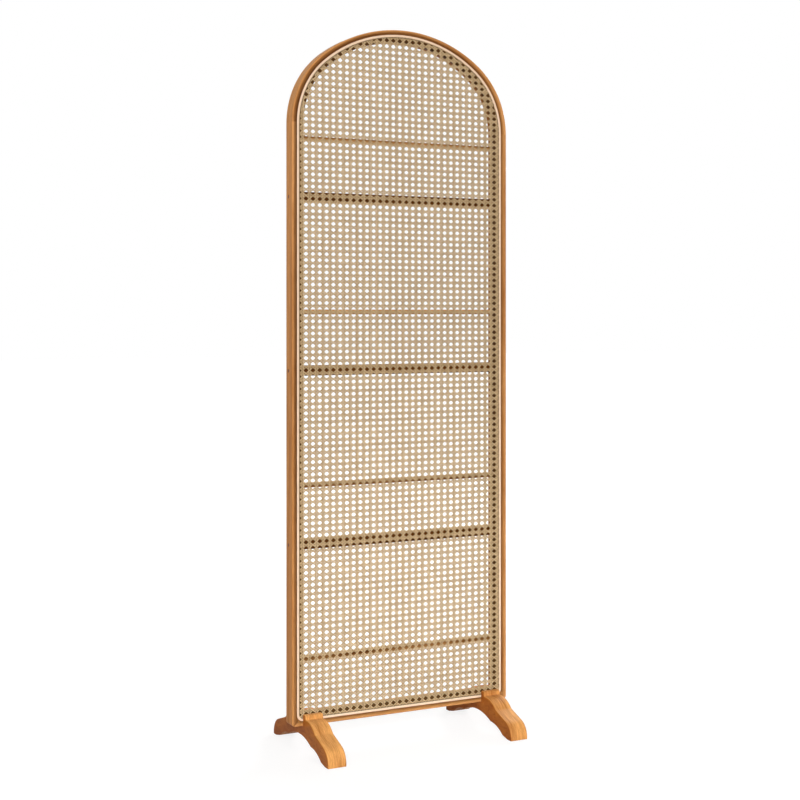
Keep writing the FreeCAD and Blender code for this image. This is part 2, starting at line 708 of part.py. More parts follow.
def draw_foot(sketch):
    edges = foot_outline()
    (underside, scallop, sole, tread, toe_end, toe, instep, shoulder,
     ledge, cheek, cheek_top, wall, floor, middle) = sketch.addGeometry(edges, False)
    # start and end of the two underside arcs run the other way round the outline
    sketch.addConstraint(Sketcher.Constraint("Coincident", underside, 1, scallop, 2))
    sketch.addConstraint(Sketcher.Constraint("Coincident", scallop, 1, sole, 1))
    for first, second in ((sole, tread), (tread, toe_end), (toe_end, toe), (instep, shoulder),
                          (shoulder, ledge), (ledge, cheek), (cheek, cheek_top), (cheek_top, wall),
                          (wall, floor), (floor, middle)):
        join(sketch, first, second)
    join(sketch, toe, instep, "Tangent")
    sketch.addConstraint(Sketcher.Constraint("Coincident", middle, 2, underside, 2))
    for level in (tread, ledge, cheek_top, floor):
        sketch.addConstraint(Sketcher.Constraint("Horizontal", level))
    for upright in (toe_end, cheek, wall, middle):
        sketch.addConstraint(Sketcher.Constraint("Vertical", upright))
    sketch.addConstraint(Sketcher.Constraint("PointOnObject", middle, 1, -2))
    sketch.addConstraint(Sketcher.Constraint("PointOnObject", underside, 3, -2))
    sketch.addConstraint(Sketcher.Constraint("Vertical", scallop, 3, scallop, 2))
    sketch.addConstraint(Sketcher.Constraint("Horizontal", toe, 3, toe, 1))
    sketch.addConstraint(Sketcher.Constraint("Vertical", shoulder, 3, shoulder, 2))
    slot = "frame_depth / 2 + slot_gap"
    places = [
        ("arch_height", "DistanceY", underside, 2),
        ("cusp_reach", "DistanceX", underside, 1),
        ("cusp_height", "DistanceY", underside, 1),
        ("sole_reach", "DistanceX", sole, 1),
        ("sole_height", "DistanceY", sole, 1),
        (TREAD_REACH, "DistanceX", tread, 1),
        ("pad_thickness", "DistanceY", tread, 1),
        ("foot_length / 2", "DistanceX", tread, 2),
        ("pad_thickness + toe_height", "DistanceY", toe_end, 2),
        ("crease_reach", "DistanceX", instep, 2),
        ("crease_height", "DistanceY", instep, 2),
        ("shoulder_reach", "DistanceX", ledge, 1),
        ("shoulder_height", "DistanceY", ledge, 1),
        (slot + " + cheek_width", "DistanceX", cheek, 1),
        ("panel_bottom + cheek_height", "DistanceY", cheek, 2),
        (slot, "DistanceX", wall, 1),
        ("panel_bottom", "DistanceY", floor, 2),
    ]
    rules = []
    for formula, kind, edge, end in places:
        point = sketch.getPoint(edge, end)
        amount = point.x if kind == "DistanceX" else point.y
        rules.append((formula, amount, kind, -1, 1, edge, end))
    rules.append(("toe_radius", size("toe_radius"), "Radius", toe))
    settle(sketch, rules)


def bolt_places():
    """Places of the foot bolts across the panel."""
    return ["%d * %s %s bolt_spacing / 2" % (way, FOOT_REACH, sign)
            for way in SIDES.values() for sign in "-+"]


def make_foot(side):
    """A bracket foot, scalloped underneath, with a slot between two cheeks for the frame."""
    label = side + "_foot"
    body = new_body(label)
    outline = body_sketch(body, label + "_outline", "YZ_Plane")
    draw_foot(outline)
    pad(body, label + "_back_half", outline, "foot_width", True)
    both = body.newObject("PartDesign::Mirrored", label + "_halves")
    both.Originals = [body.Tip]
    both.MirrorPlane = ([item for item in body.Origin.OriginFeatures if item.Role == "XZ_Plane"][0], [""])
    body.Tip = both
    half = size("foot_width") / 2
    slot = size("frame_depth") / 2 + size("slot_gap")

    def crossing(edge, reach):
        return at_faces(edge, reach) and near(edge.BoundBox.XLength, 2 * half)

    def upper_arris(edge):
        box = edge.BoundBox
        reach = max(abs(box.YMin), abs(box.YMax))
        underside = (reach < size("foot_length") / 2 - size("tread_length") + SAME_PLACE
                     and box.ZMax < size("arch_height") + SAME_PLACE)
        tread = level_at(edge, "z", size("pad_thickness"))
        return at_faces(edge, half, "x") and reach > slot + SAME_PLACE and not underside and not tread

    ease(body, label + "_cheeks", "cheek_round", lambda edge: crossing(edge, slot + size("cheek_width")))
    ease(body, label + "_creases", "crease_round", lambda edge: crossing(edge, size("crease_reach")))
    ease(body, label + "_arrises", "foot_ease", upper_arris)
    for number, sign in enumerate("-+"):
        middle = "%s bolt_spacing / 2" % sign
        bore(body, "%s_head_bore_%d" % (label, number), ALONG_Z, (middle, "0", "0"),
             "washer_diameter + 2 * fit_gap", BOLT_SEAT + " + washer_thickness")
        bore(body, "%s_bolt_bore_%d" % (label, number), ALONG_Z, (middle, "0", "0"),
             "bolt_diameter + 2 * fit_gap", "panel_bottom")
    place(body, "%d * %s" % (SIDES[side], FOOT_REACH))
    return body


def make_pad(side, end, way):
    """A felt pad with rounded corners, under one tread of a foot."""
    name = "%s_%s_pad" % (side, end)
    body = new_body(name)
    start = {1: TREAD_REACH + " + pad_inset", -1: "pad_inset - foot_length / 2"}[way]
    block(body, name + "_felt",
          ("%d * %s - foot_width / 2 + pad_inset" % (SIDES[side], FOOT_REACH), start, "0"),
          ("foot_width - 2 * pad_inset", "tread_length - 2 * pad_inset", "pad_thickness"))
    ease(body, name + "_corners", "pad_corner",
         lambda edge: near(edge.BoundBox.ZLength, size("pad_thickness")))
    return body


# Fasteners

def make_arch_dowels():
    return group("arch_dowels", [
        rod("arch_dowel_%s_%s" % (side, name), ALONG_Z,
            ("%d * %s" % (way, STILE_MIDDLE), dowel_depth(sign),
             "spring_height - dowel_length / 2"), "dowel_diameter", "dowel_length")
        for side, way in SIDES.items() for name, sign in PAIR.items()])


def make_corner_dowels():
    return group("corner_dowels", [
        rod("corner_dowel_%s_%s" % (side, name), ALONG_X,
            ("%d * %s - dowel_length / 2" % (way, HALF_OPENING), dowel_depth(sign),
             "panel_bottom + dowel_rise"), "dowel_diameter", "dowel_length")
        for side, way in SIDES.items() for name, sign in PAIR.items()])


def make_rail_screw(side, name, step):
    """A pan-head wood screw, driven through the stile into the end of a cross rail."""
    inward = {"left": 1, "right": -1}[side]
    turn = {"left": ALONG_X, "right": Rotation(Vector(0, 1, 0), -90)}[side]
    edge = "%d * panel_width / 2 %+d * " % (SIDES[side], inward)
    level = rail_level(step)
    title = "%s_%s_screw" % (side, name)
    screw = doc.addObject("Part::MultiFuse", title)
    screw.Shapes = [
        rod(title + "_head", turn, (edge + "(plug_sunk + plug_length)", "rail_back", level),
            "screw_head", "screw_head_height"),
        rod(title + "_shank", turn, (edge + SCREW_SEAT, "rail_back", level),
            "screw_diameter", "screw_length - screw_point"),
        taper(title + "_point", turn,
              (edge + "(%s + screw_length - screw_point)" % SCREW_SEAT, "rail_back", level),
              "screw_diameter", "screw_point"),
    ]
    return screw


def make_plug(side, name, step):
    start = {"left": "plug_sunk - panel_width / 2", "right": "panel_width / 2 - plug_sunk - plug_length"}
    return rod("%s_%s_plug" % (side, name), ALONG_X, (start[side], "rail_back", rail_level(step)),
               "plug_diameter", "plug_length")


def make_foot_bolt(number, middle):
    """A socket-head bolt that draws the frame down into the slot of the foot."""
    name = "foot_bolt_%d" % number
    solid = doc.addObject("Part::Fuse", name + "_solid")
    solid.Base = rod(name + "_head", ALONG_Z, (middle, "0", "arch_height + bolt_sunk"),
                     "bolt_head", "bolt_head_height")
    solid.Tool = rod(name + "_shank", ALONG_Z, (middle, "0", BOLT_SEAT), "bolt_diameter",
                     "panel_bottom + insert_length - bolt_end - " + BOLT_SEAT)
    socket = doc.addObject("Part::Prism", name + "_socket")
    socket.Polygon = 6
    bind(socket, Circumradius="socket_width / 2", Height="socket_depth")
    place(socket, middle, "0", "arch_height + bolt_sunk")
    bolt = doc.addObject("Part::Cut", name)
    bolt.Base = solid
    bolt.Tool = socket
    return bolt


def make_foot_washers():
    return group("foot_washers", [
        ring("foot_washer_%d" % number, (middle, "0", BOLT_SEAT), "washer_diameter",
             "bolt_diameter + 2 * fit_gap", "washer_thickness")
        for number, middle in enumerate(bolt_places())])


def make_foot_inserts():
    return group("foot_inserts", [
        ring("foot_insert_%d" % number, (middle, "0", "panel_bottom"), "insert_diameter",
             "bolt_diameter + 2 * fit_gap", "insert_length")
        for number, middle in enumerate(bolt_places())])


# The whole divider, one document object for each node
nodes = [make_left_stile()]
nodes.append(make_right_stile(nodes[0]))
nodes += [make_arch_rail(), make_bottom_rail()]
nodes += [make_cross_rail(name, step) for name, step in RAILS.items()]
nodes += [make_slat(name, step) for name, step in SLATS.items()]
nodes += make_cane_layers()
nodes.append(make_seat_ring("cane_hem", HEM_OUTER, HEM_INNER, SEAT_LEVEL + " - hem_depth", "hem_depth"))
nodes.append(make_spline())
nodes += [make_foot(side) for side in SIDES]
nodes.append(group("foot_pads", [make_pad(side, end, way) for side in SIDES
                                 for end, way in (("toe", -1), ("heel", 1))]))
nodes += [make_arch_dowels(), make_corner_dowels()]
nodes.append(group("rail_screws", [make_rail_screw(side, name, step)
                                   for side in SIDES for name, step in RAILS.items()]))
nodes.append(group("screw_plugs", [make_plug(side, name, step)
                                   for side in SIDES for name, step in RAILS.items()]))
nodes.append(group("foot_bolts", [make_foot_bolt(number, middle)
                                  for number, middle in enumerate(bolt_places())]))
nodes += [make_foot_washers(), make_foot_inserts()]
doc.recompute()

for item in doc.Objects:
    if "Invalid" in item.State or "Error" in item.State:
        raise RuntimeError("%s failed: %s" % (item.Name, item.State))
for node in nodes:
    if node.Shape.isNull() or not node.Shape.isValid():
        raise RuntimeError("%s has no valid shape" % node.Label)

os.makedirs("parts", exist_ok=True)
for node in nodes:
    node.Shape.exportStep("parts/%s.step" % node.Label)
    box = node.Shape.BoundBox
    print("%-24s %d solids %9.1f cm3  x %.1f to %.1f  y %.1f to %.1f  z %.1f to %.1f" % (
        node.Label, len(node.Shape.Solids), node.Shape.Volume / 1000,
        box.XMin, box.XMax, box.YMin, box.YMax, box.ZMin, box.ZMax))
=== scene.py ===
import math
import random

import bmesh
import bpy
from bpy.props import FloatProperty, FloatVectorProperty, IntProperty, PointerProperty
from mathutils import Matrix, Vector


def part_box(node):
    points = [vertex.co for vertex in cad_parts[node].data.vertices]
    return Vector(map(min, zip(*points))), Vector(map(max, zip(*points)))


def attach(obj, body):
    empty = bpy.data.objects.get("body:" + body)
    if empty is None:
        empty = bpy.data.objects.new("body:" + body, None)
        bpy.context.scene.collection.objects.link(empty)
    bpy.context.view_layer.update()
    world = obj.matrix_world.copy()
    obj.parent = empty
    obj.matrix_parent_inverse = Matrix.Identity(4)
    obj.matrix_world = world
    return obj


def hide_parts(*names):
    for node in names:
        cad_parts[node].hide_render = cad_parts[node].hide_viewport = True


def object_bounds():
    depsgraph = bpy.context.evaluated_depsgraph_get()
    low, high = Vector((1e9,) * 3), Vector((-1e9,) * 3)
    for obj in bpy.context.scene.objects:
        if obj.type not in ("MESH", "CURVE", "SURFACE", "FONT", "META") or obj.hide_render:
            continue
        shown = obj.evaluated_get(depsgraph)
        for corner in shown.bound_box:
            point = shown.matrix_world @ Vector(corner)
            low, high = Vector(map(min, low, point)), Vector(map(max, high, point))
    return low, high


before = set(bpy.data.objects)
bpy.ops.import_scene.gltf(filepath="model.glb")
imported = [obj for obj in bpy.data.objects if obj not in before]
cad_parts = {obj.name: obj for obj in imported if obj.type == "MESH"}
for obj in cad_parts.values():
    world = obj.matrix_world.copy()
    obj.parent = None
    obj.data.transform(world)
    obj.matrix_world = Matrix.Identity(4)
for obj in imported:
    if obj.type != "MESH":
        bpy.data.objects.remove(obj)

bl_info = {
    "name": "Arched Cane Room Divider",
    "version": (1, 0, 0),
    "blender": (4, 5, 0),
    "location": "3D View > Sidebar > Divider",
    "description": "Weaves the cane of an arched divider and finishes its wood, reed, felt and metal",
    "category": "Object",
}

CAD_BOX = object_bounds()
BODY = "root"
FRAME_LOW, FRAME_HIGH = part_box("arch_rail")
CANE_LOW, CANE_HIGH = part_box("cane_levels")
CANE_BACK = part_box("cane_uprights")[1].y
SPRING = FRAME_LOW.z
WHITE = (1.0, 1.0, 1.0, 1.0)


def linear(red, green, blue):
    """A colour from 0 to 255, as it is seen on a screen, in the renderer's linear numbers."""
    def channel(value):
        value /= 255
        return value / 12.92 if value <= 0.04045 else ((value + 0.055) / 1.055) ** 2.4
    return (channel(red), channel(green), channel(blue), 1.0)


def number(name, description, default, **kind):
    return FloatProperty(name=name, description=description, default=default, **kind)


def length(name, description, default):
    return number(name, description, default, unit="LENGTH", precision=5)


def share(name, description, default):
    return number(name, description, default, subtype="FACTOR", min=0.0, max=1.0)


def power(name, description, default):
    return number(name, description, default, subtype="POWER")


def colour(name, description, default):
    return FloatVectorProperty(name=name, description=description, default=linear(*default), size=4,
                               subtype="COLOR", min=0.0, max=1.0)


class CaneSettings(bpy.types.PropertyGroup):
    across: length("Upright spacing", "From one pair of upright strands to the next", 0.01837)
    up: length("Level spacing", "From one pair of level strands to the next", 0.015)
    shift: length("First upright pair", "Its place to the right of the middle line", 0.00184)
    lift: length("First level pair", "Its height above the lower edge of the webbing", 0.00235)
    upright_width: length("Upright strand", "Width of one upright strand", 0.00273)
    upright_apart: length("Upright pair", "Between the middles of the two strands of a pair", 0.00355)
    level_width: length("Level strand", "Width of one level strand", 0.00212)
    level_apart: length("Level pair", "Between the middles of the two strands of a pair", 0.00275)
    diagonal_width: length("Diagonal strand", "Width of one diagonal strand", 0.0026)
    thickness: length("Strand thickness", "Thickness of every strand", 0.00048)
    wander: length("Wander", "How far a strand may lie off its line", 0.00012)
    tuck: length("Tuck", "How far strands reach in under the reed", 0.0006)
    corner: length("Lower corners", "Radius of the lower corners of the webbing", 0.0106)
    # the haunch radius is shared with the frame, whose grain follows the same arch
    haunch: length("Haunch radius", "Radius of the ends of the arch at the outside of the frame", 0.2195)
    seed: IntProperty(name="Seed", description="Starts the small differences between strands", default=7)


class FinishSettings(bpy.types.PropertyGroup):
    frame_light: colour("Frame, light", "Light grain of the frame", (229, 168, 105))
    frame_dark: colour("Frame, dark", "Dark grain of the frame", (180, 118, 62))
    lip_slope: number("Lip slope", "Fall of the front face down to the reed, by its width", 1.2)
    # Painted shade: the lip's inner slope, its foot by the reed and the seat behind the cane are darkened
    # in colour
    lip_painted_shade: share("Lip stain", "Shade of the inner slope of the lip", 0.86)
    lip_foot_painted_shade: share("Lip foot stain", "Shade where lip and reed meet", 0.60)
    seat_painted_shade: share("Seat stain", "Shade of the wood behind the cane", 0.15)
    foot_light: colour("Feet, light", "Light grain of the feet", (234, 172, 100))
    foot_dark: colour("Feet, dark", "Dark grain of the feet", (160, 94, 42))
    # Painted shade: the sawn sides of the feet are darkened in colour for facing aside
    foot_side_painted_shade: colour("Feet, sides", "Stain of the sawn sides of the feet", (210, 178, 136))
    # Painted shade: the rails are coloured far darker than the frame, for the shade behind the cane
    shaded_rail_light: colour("Rails, light", "Light grain of the cross rails", (110, 66, 30))
    shaded_rail_dark: colour("Rails, dark", "Dark grain of the cross rails", (78, 44, 18))
    slat_light: colour("Slats, light", "Light grain of the slats", (214, 164, 106))
    slat_dark: colour("Slats, dark", "Dark grain of the slats", (180, 130, 80))
    cane_light: colour("Cane, light", "Pale strands", (228, 200, 156))
    cane_dark: colour("Cane, dark", "Dark strands", (194, 165, 121))
    reed: colour("Reed", "Spline that holds the cane", (252, 226, 198))
    felt: colour("Felt", "Pads under the feet", (72, 62, 52))
    plug: colour("Plugs", "Stained plugs over the screws", (98, 56, 26))
    dowel: colour("Dowels", "Bare beech", (216, 178, 130))
    steel: colour("Steel", "Zinc plated screws, bolts and washers", (176, 176, 172))
    brass: colour("Brass", "Threaded inserts", (204, 168, 96))


class StageSettings(bpy.types.PropertyGroup):
    eye: FloatVectorProperty(name="Camera", description="Place of the camera", size=3,
                             default=(-1.708, -3.363, 1.0744), subtype="TRANSLATION", unit="LENGTH")
    turn: number("Camera turn", "Turn of the level camera about the vertical", math.radians(-26.94),
                 subtype="ANGLE")
    lens: number("Lens", "Focal length in millimetres", 67.0, unit="CAMERA")
    shift: number("Shift", "Vertical lens shift, as a share of the frame", -0.1095)
    key: power("Key light", "Power of the large front light", 340.0)
    low: power("Low light", "Power of the low front light", 1.3)
    back: power("Back light", "Power of the large light behind", 240.0)
    fill: share("Fill", "Light from all round", 0.30)
    floor: colour("Floor", "Floor as it lights the divider from below", (176, 148, 118))


# Finishes

class Finish:
    """A material and the few moves that its nodes are made with."""

    def __init__(self, name):
        self.material = bpy.data.materials.new(name)
        self.material.use_nodes = True
        self.tree = self.material.node_tree
        self.shader = self.tree.nodes["Principled BSDF"]

    def node(self, kind):
        return self.tree.nodes.new("ShaderNode" + kind)

    def feed(self, socket, value):
        if isinstance(value, bpy.types.NodeSocket):
            self.tree.links.new(value, socket)
        else:
            socket.default_value = value

    def set(self, **inputs):
        """Set or link the shader's own sockets; an underscore stands for a space."""
        for name, value in inputs.items():
            self.feed(self.shader.inputs[name.replace("_", " ")], value)

    def place(self):
        return self.node("TexCoord").outputs["Object"]

    def facing(self):
        return self.node("TexCoord").outputs["Normal"]

    def parts(self, vector):
        """A place or direction as its three parts: across, front to back and up."""
        node = self.node("SeparateXYZ")
        self.feed(node.inputs[0], vector)
        return node.outputs[:]

    def span(self, value, start, end):
        """How far a value lies from the start to the end, from nothing to one."""
        node = self.node("MapRange")
        for name, amount in (("Value", value), ("From Min", start), ("From Max", end)):
            self.feed(node.inputs[name], amount)
        return node.outputs["Result"]

    def painted(self, name):
        """A value that the piece's own points carry."""
        node = self.node("Attribute")
        node.attribute_name = name
        return node.outputs["Fac"]

    def mapped(self, vector, scale, turn=0.0):
        """A place squeezed along its axes, after a turn about the front to back axis."""
        node = self.node("Mapping")
        self.feed(node.inputs["Vector"], vector)
        node.inputs["Rotation"].default_value = (0.0, turn, 0.0)
        node.inputs["Scale"].default_value = scale
        return node.outputs["Vector"]

    def noise(self, vector, scale, detail=2.0, roughness=0.5, distortion=0.0):
        node = self.node("TexNoise")
        self.feed(node.inputs["Vector"], vector)
        node.inputs["Scale"].default_value = scale
        node.inputs["Detail"].default_value = detail
        node.inputs["Roughness"].default_value = roughness
        node.inputs["Distortion"].default_value = distortion
        return node.outputs["Fac"]

    def maths(self, operation, *values):
        node = self.node("Math")
        node.operation = operation
        for socket, value in zip(node.inputs, values):
            self.feed(socket, value)
        return node.outputs["Value"]

    def weigh(self, first, first_share, second, second_share):
        """Two values added up, each by its share."""
        return self.maths("MULTIPLY_ADD", first, first_share, self.maths("MULTIPLY", second, second_share))

    def arm(self, first, second):
        """The slant of a triangle from the two sides that stand square to each other."""
        squares = self.maths("MULTIPLY_ADD", first, first, self.maths("MULTIPLY", second, second))
        return self.maths("SQRT", squares)

    def ramp(self, factor, *stops):
        node = self.node("ValToRGB")
        self.feed(node.inputs["Fac"], factor)
        elements = node.color_ramp.elements
        while len(elements) < len(stops):
            elements.new(1.0)
        for element, (position, shade) in zip(elements, stops):
            element.position = position
            element.color = shade
        return node.outputs["Color"]

    def graded(self, value, *stops):
        """A ramp whose stops stand at the value's own places, in metres."""
        start = stops[0][0]
        end = stops[-1][0]
        shares = [((place - start) / (end - start), shade) for place, shade in stops]
        return self.ramp(self.span(value, start, end), *shares)

    def mix(self, factor, first, second, blend="MIX"):
        node = self.node("Mix")
        node.data_type = "RGBA"
        node.blend_type = blend
        sockets = {socket.identifier: socket for socket in node.inputs}
        self.feed(sockets["Factor_Float"], factor)
        self.feed(sockets["A_Color"], first)
        self.feed(sockets["B_Color"], second)
        return [socket for socket in node.outputs if socket.identifier == "Result_Color"][0]

    def painted_shade(self, shade, *painted_shades):
        """Darken a colour by painted shades, one over the other."""
        for painted_shade in painted_shades:
            shade = self.mix(1.0, shade, painted_shade, "MULTIPLY")
        return shade

    def bump(self, height, strength, distance):
        """Raise the surface by a height, on top of what raises it already."""
        node = self.node("Bump")
        for link in self.shader.inputs["Normal"].links:
            self.feed(node.inputs["Normal"], link.from_socket)
        self.feed(node.inputs["Height"], height)
        node.inputs["Strength"].default_value = strength
        node.inputs["Distance"].default_value = distance
        self.set(Normal=node.outputs["Normal"])


# Depths in from the edge of the webbing: the lip rounds over between the first two,
# its painted shade deepens over the next three, and the painted shade of the seat begins at the edge
# itself.
LIP_START = -0.0180
LIP_END = -0.0060
SHADE_START = -0.0120
SHADE_FULL = -0.0080
LIP_FOOT = -0.0065
SEAT_START = 0.0004
# Distances behind the cane over which the lip's slope and the painted shade of lip and seat run out
LIP_BACK = 0.010
SHADE_BACK = (0.012, 0.034)
# How fast the lip steepens, and how far in from the reed the cane is darkened as painted shade
LIP_CURVE = 1.4
REED_SHADE = (0.0012, 0.0030)
# How squarely a face looks aside where the painted shade on the sawn sides begins and is full
SIDE_START = 0.45
SIDE_FULL = 0.90

GRAIN_SQUEEZE = 0.05
ALONG_X = (GRAIN_SQUEEZE, 1, 1)
DOWN_SLOPE = (1, GRAIN_SQUEEZE, 0.12)
ALONG_Z = (1, 1, GRAIN_SQUEEZE)
PORE = (0.62, 0.55, 0.48, 1.0)


def grey(level):
    return (level, level, level, 1.0)


def toned(shade, factor):
    """A colour made darker or paler."""
    return [min(1.0, part * factor) for part in shade[:3]] + [1.0]


def crown_radius(out, rise, haunch):
    """Radius of the crown that runs on from two haunches whose middles lie this far out."""
    return (out ** 2 + rise ** 2 - haunch ** 2) / (2 * (rise - haunch))


def arch_depth(finish, reach, haunch, top):
    """Depth in from a line along the frame, straight and then in three arcs, and the way along it."""
    x, _, z = finish.parts(finish.place())
    out = reach - haunch
    rise = top - SPRING
    crown = crown_radius(out, rise, haunch)
    turn = math.atan2(crown - rise, out)
    maths = finish.maths
    across = maths("SUBTRACT", maths("ABSOLUTE", x), out)
    above = maths("MAXIMUM", maths("SUBTRACT", z, SPRING), 0.0)
    over_crown = maths("SUBTRACT", z, top - crown)
    at_haunch = maths("SUBTRACT", haunch, finish.arm(across, above))
    at_crown = maths("SUBTRACT", crown, finish.arm(x, maths("MAXIMUM", over_crown, 0.0)))
    beside = maths("GREATER_THAN", maths("MULTIPLY", across, math.sin(turn)),
                   maths("MULTIPLY", above, math.cos(turn)))
    depth = finish.weigh(at_haunch, beside, at_crown, maths("SUBTRACT", 1.0, beside))
    return depth, maths("MULTIPLY", maths("ARCTAN2", x, over_crown), crown)


def cane_depth(finish, haunch):
    """Depth in from the edge of the webbing all round; outside it is less than nothing."""
    depth, _ = arch_depth(finish, CANE_HIGH.x, haunch - FRAME_HIGH.x + CANE_HIGH.x, CANE_HIGH.z)
    height = finish.maths("SUBTRACT", finish.parts(finish.place())[2], CANE_LOW.z)
    return finish.maths("MINIMUM", depth, height)


def behind_cane(finish, start, end):
    """How far a place lies from one distance behind the cane to the other."""
    return finish.span(finish.parts(finish.place())[1], CANE_BACK + start, CANE_BACK + end)


def straight(scale):
    """Grain that runs straight, along the axis that is squeezed most."""
    def grain(finish):
        return finish.mapped(finish.place(), scale)
    return grain


def bent(haunch):
    """Grain that follows the frame: depth in from its outer edge, front to back, and along it."""
    def grain(finish):
        depth, along = arch_depth(finish, FRAME_HIGH.x, haunch, FRAME_HIGH.z)
        squeezed = finish.maths("MULTIPLY", along, GRAIN_SQUEEZE)
        joined = finish.node("CombineXYZ")
        for socket, value in zip(joined.inputs, (depth, finish.parts(finish.place())[1], squeezed)):
            finish.feed(socket, value)
        return joined.outputs[0]
    return grain


def seat_painted_shade(finish, haunch, lip, foot, seat):
    """Painted shade on the inner slope of the lip, at its foot and on the seat behind the cane."""
    front = finish.graded(cane_depth(finish, haunch), (SHADE_START, WHITE), (SHADE_FULL, grey(lip)),
                          (LIP_FOOT, grey(foot)), (0.0, grey(foot)), (SEAT_START, grey(seat)))
    return finish.mix(behind_cane(finish, *SHADE_BACK), front, WHITE)


def side_painted_shade(finish, shade):
    """Painted shade on the sawn faces that look left and right."""
    aside = finish.parts(finish.facing())[0]
    return finish.ramp(finish.maths("ABSOLUTE", aside), (SIDE_START, WHITE), (SIDE_FULL, shade))


def slope_lip(finish, haunch, slope):
    """Let the front face of the frame round over inwards, ever steeper down to the reed."""
    along = finish.span(cane_depth(finish, haunch), LIP_START, LIP_END)
    curve = finish.maths("POWER", along, LIP_CURVE)
    fall = finish.maths("MULTIPLY", curve, slope * (LIP_START - LIP_END))
    front = finish.maths("SUBTRACT", 1.0, behind_cane(finish, 0.0, LIP_BACK))
    finish.bump(finish.maths("MULTIPLY", fall, front), strength=1.0, distance=1.0)


def wood(name, light, dark, grain, roughness=0.5, painted_shade=None, lip=None):
    """Lacquered wood: broad bands, fine fibres and short dark pores along the grain."""
    finish = Finish(name)
    vector = grain(finish)
    bands = finish.noise(vector, scale=42.0, detail=3.0, roughness=0.55, distortion=0.7)
    fibres = finish.noise(vector, scale=420.0, detail=4.0, roughness=0.6)
    pores = finish.noise(vector, scale=1500.0)
    shade = finish.ramp(finish.weigh(bands, 0.6, fibres, 0.4), (0.36, dark), (0.62, light))
    shade = finish.mix(0.6, shade, finish.ramp(pores, (0.30, PORE), (0.42, WHITE)), "MULTIPLY")
    # Painted shade, where one is given, darkens the colour of the grain
    if painted_shade:
        shade = finish.painted_shade(shade, painted_shade(finish))
    finish.set(Base_Color=shade, Specular_IOR_Level=0.08,
               Roughness=finish.maths("MULTIPLY_ADD", fibres, 0.12, roughness - 0.06))
    finish.bump(fibres, strength=0.12, distance=0.0004)
    if lip:
        lip(finish)
    return finish.material


def cane_finish(name, light, dark, turn, haunch):
    """Split rattan: long fibres, a shade of its own for each strand, dull patches and edges darkened as
    painted shade.
    """
    finish = Finish(name)
    fibres = finish.noise(finish.mapped(finish.place(), (1, 1, 0.03), turn),
                          scale=2200.0, detail=3.0, roughness=0.6)
    patches = finish.noise(finish.mapped(finish.place(), (1, 1, 0.25), turn),
                           scale=60.0, detail=3.0, roughness=0.6)
    tone = finish.weigh(finish.painted("tone"), 0.5, patches, 0.35)
    tone = finish.maths("MULTIPLY_ADD", fibres, 0.25, tone)
    # Painted shade: each strand darkens towards its edges
    edges = finish.ramp(finish.painted("rim"), (0.45, WHITE), (1.0, grey(0.16)))
    # Painted shade on the cane where it runs in under the reed
    start, end = REED_SHADE
    reed_painted_shade = finish.graded(cane_depth(finish, haunch), (start, grey(0.42)), (end, WHITE))
    shade = finish.painted_shade(finish.ramp(tone, (0.28, dark), (0.78, light)), edges, reed_painted_shade)
    finish.set(Base_Color=shade, Specular_IOR_Level=0.3,
               Roughness=finish.maths("MULTIPLY_ADD", fibres, 0.2, 0.42))
    finish.bump(fibres, strength=0.15, distance=0.0002)
    return finish.material


def reed_finish(name, shade, haunch):
    """Round reed: fibres that follow the groove, and dull patches."""
    finish = Finish(name)
    fibres = finish.noise(bent(haunch)(finish), scale=1500.0, detail=4.0, roughness=0.6)
    patches = finish.noise(finish.place(), scale=45.0, detail=3.0, roughness=0.6)
    tone = finish.weigh(fibres, 0.5, patches, 0.5)
    finish.set(Base_Color=finish.ramp(tone, (0.32, toned(shade, 0.84)), (0.60, shade)), Roughness=0.5)
    finish.bump(fibres, strength=0.2, distance=0.0003)
    return finish.material


def felt_finish(name, shade):
    """Pressed felt: short hairs in clumps."""
    finish = Finish(name)
    hairs = finish.noise(finish.place(), scale=2600.0, detail=5.0, roughness=0.75, distortion=1.5)
    clumps = finish.noise(finish.place(), scale=300.0, detail=3.0, roughness=0.6)
    tone = finish.weigh(hairs, 0.6, clumps, 0.4)
    finish.set(Base_Color=finish.ramp(tone, (0.38, shade), (0.66, toned(shade, 1.9))),
               Roughness=0.95, Sheen_Weight=0.3)
    finish.bump(hairs, strength=0.6, distance=0.0006)
    return finish.material


def metal_finish(name, shade, roughness):
    """Plated or turned metal with fine streaks."""
    finish = Finish(name)
    streaks = finish.noise(finish.mapped(finish.place(), (1, 1, 0.1)),
                           scale=900.0, detail=4.0, roughness=0.6)
    finish.set(Base_Color=finish.ramp(streaks, (0.35, toned(shade, 0.72)), (0.62, shade)), Metallic=1.0,
               Roughness=finish.maths("MULTIPLY_ADD", streaks, 0.2, roughness - 0.1))
    finish.bump(streaks, strength=0.1, distance=0.0001)
    return finish.material


def end_grain(name, shade):
    """Plugs: rings and open pores of wood cut across."""
    finish = Finish(name)
    pores = finish.noise(finish.place(), scale=2200.0, detail=3.0, roughness=0.6)
    rings = finish.noise(finish.mapped(finish.place(), (1, 1, 0.4)), scale=500.0, distortion=1.0)
    tone = finish.weigh(pores, 0.5, rings, 0.5)
    finish.set(Base_Color=finish.ramp(tone, (0.38, shade), (0.64, toned(shade, 1.7))), Roughness=0.55)
    finish.bump(pores, strength=0.25, distance=0.0002)
    return finish.material


def coat(material, *nodes):
    """Give nodes of the frame their finish."""
    for node in nodes:
        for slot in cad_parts[node].material_slots:
            slot.material = material


# Cane webbing

SECTION_SIDES = 6
SEARCH_STEP = 0.004
SEARCH_HALVINGS = 24
# How far strands rise and sink, in thicknesses, and how long they stay there, in the spacing they cross
PAIR_LIFT = 0.45
PAIR_BEND = 1.6
DIAGONAL_LIFT = 0.94
OVER_UPRIGHTS = 1.1
UNDER_LEVELS = 1.35


